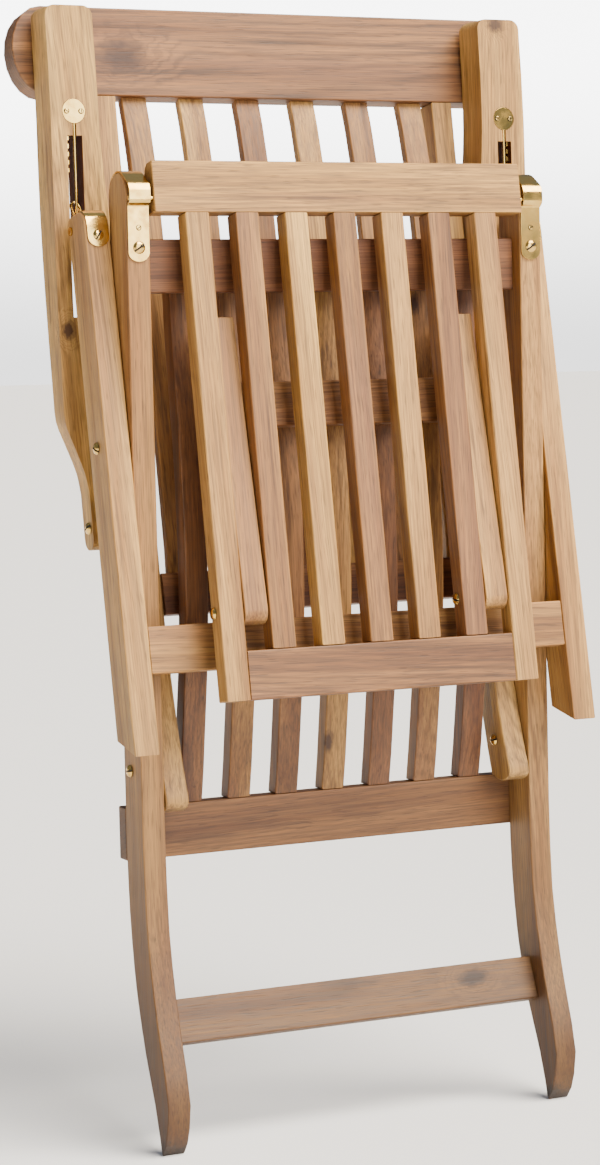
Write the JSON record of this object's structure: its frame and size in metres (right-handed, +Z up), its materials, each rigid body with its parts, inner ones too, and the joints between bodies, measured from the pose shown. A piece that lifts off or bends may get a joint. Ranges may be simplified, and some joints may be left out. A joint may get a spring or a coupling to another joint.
{
  "type": "folding armchair",
  "caption": "Folding slatted teak deck armchair with a curved back, slotted armrests, brass fittings and a swing-out footrest, folded flat and upright.",
  "frame": {"origin": "middle of the chair's width, in the plane of the seat rails' underside, at the height of the foot tips", "axes": "+X to the right hand of a viewer who faces the folded chair's underside, +Y away from that viewer towards the seating side, +Z up along the seat rails"},
  "size_m": [0.647, 0.2967, 1.2776],
  "materials": {
    "teak_light": "oiled teak, pale tan",
    "teak_honey": "oiled teak, honey brown",
    "teak_red": "oiled teak, reddish brown",
    "brass": "polished"
  },
  "bodies": {
    "seat_frame": {"seat_rail_left": "teak_light", "seat_rail_right": "teak_light", "seat_cross_rail": "teak_red", "rear_rail": "teak_red", "foot_stretcher": "teak_honey", "seat_slat_1": "teak_red", "seat_slat_2": "teak_honey", "seat_slat_3": "teak_red", "seat_slat_4": "teak_honey", "seat_slat_5": "teak_red", "seat_slat_6": "teak_honey", "seat_slat_7": "teak_red", "hook_left": "brass", "hook_right": "brass", "leg_bolt_left": "brass", "leg_bolt_right": "brass", "back_bolt_left": "brass", "back_bolt_right": "brass"},
    "front_legs": {"front_leg_left": "teak_light", "front_leg_right": "teak_light", "leg_stretcher": "teak_honey", "leg_strap_left": "brass", "leg_strap_right": "brass", "bail_left": "brass", "bail_right": "brass"},
    "back_frame": {"back_stile_left": "teak_light", "back_stile_right": "teak_light", "head_rail": "teak_red", "lower_back_rail": "teak_red", "back_slat_1": "teak_honey", "back_slat_2": "teak_light", "back_slat_3": "teak_honey", "back_slat_4": "teak_light", "back_slat_5": "teak_honey", "back_slat_6": "teak_light", "arm_bolt_left": "brass", "arm_bolt_right": "brass"},
    "arm_left": {"armrest_left": "teak_light", "slot_fitting_left": "brass", "notched_catch_left": "brass"},
    "arm_right": {"armrest_right": "teak_light", "slot_fitting_right": "brass", "notched_catch_right": "brass"},
    "footrest": {"footrest_top_rail": "teak_honey", "footrest_end_rail": "teak_red", "footrest_slat_1": "teak_light", "footrest_slat_2": "teak_honey", "footrest_slat_3": "teak_light", "footrest_slat_4": "teak_honey", "footrest_slat_5": "teak_light", "footrest_slat_6": "teak_honey", "footrest_slat_7": "teak_light", "hinge_pin_left": "brass", "hinge_pin_right": "brass", "footrest_leg_bolt_left": "brass", "footrest_leg_bolt_right": "brass"},
    "footrest_legs": {"footrest_leg_left": "teak_light", "footrest_leg_right": "teak_light", "footrest_leg_rail": "teak_honey"}
  },
  "joints": [
    {"name": "back_recline", "type": "hinge", "parent": "seat_frame", "child": "back_frame", "pos_m": [0, 0.031, 0.421], "axis": [-1, 0, 0], "range_deg": [0, 82]},
    {"name": "leg_swing", "type": "hinge", "parent": "seat_frame", "child": "front_legs", "pos_m": [0, 0.028, 0.78], "axis": [-1, 0, 0], "range_deg": [0, 73]},
    {"name": "arm_left_swing", "type": "hinge", "parent": "back_frame", "child": "arm_left", "pos_m": [-0.267, 0.09, 0.689], "axis": [-1, 0, 0], "range_deg": [-87, 0]},
    {"name": "arm_right_swing", "type": "hinge", "parent": "back_frame", "child": "arm_right", "pos_m": [0.267, 0.09, 0.689], "axis": [-1, 0, 0], "range_deg": [-87, 0]},
    {"name": "footrest_swing", "type": "hinge", "parent": "seat_frame", "child": "footrest", "pos_m": [0, -0.0039, 1.051], "axis": [-1, 0, 0], "range_deg": [0, 165]},
    {"name": "footrest_legs_swing", "type": "hinge", "parent": "footrest", "child": "footrest_legs", "pos_m": [0, -0.06396, 0.59888], "axis": [-1, 0, 0], "range_deg": [0, 97]}
  ],
  "couplings": [
    {"joint": "leg_swing", "follows": "back_recline", "ratio": 0.885},
    {"joint": "arm_left_swing", "follows": "back_recline", "ratio": -1.05},
    {"joint": "arm_right_swing", "follows": "back_recline", "ratio": -1.05},
    {"joint": "footrest_swing", "follows": "back_recline", "ratio": 2},
    {"joint": "footrest_legs_swing", "follows": "back_recline", "ratio": 1.17}
  ]
}
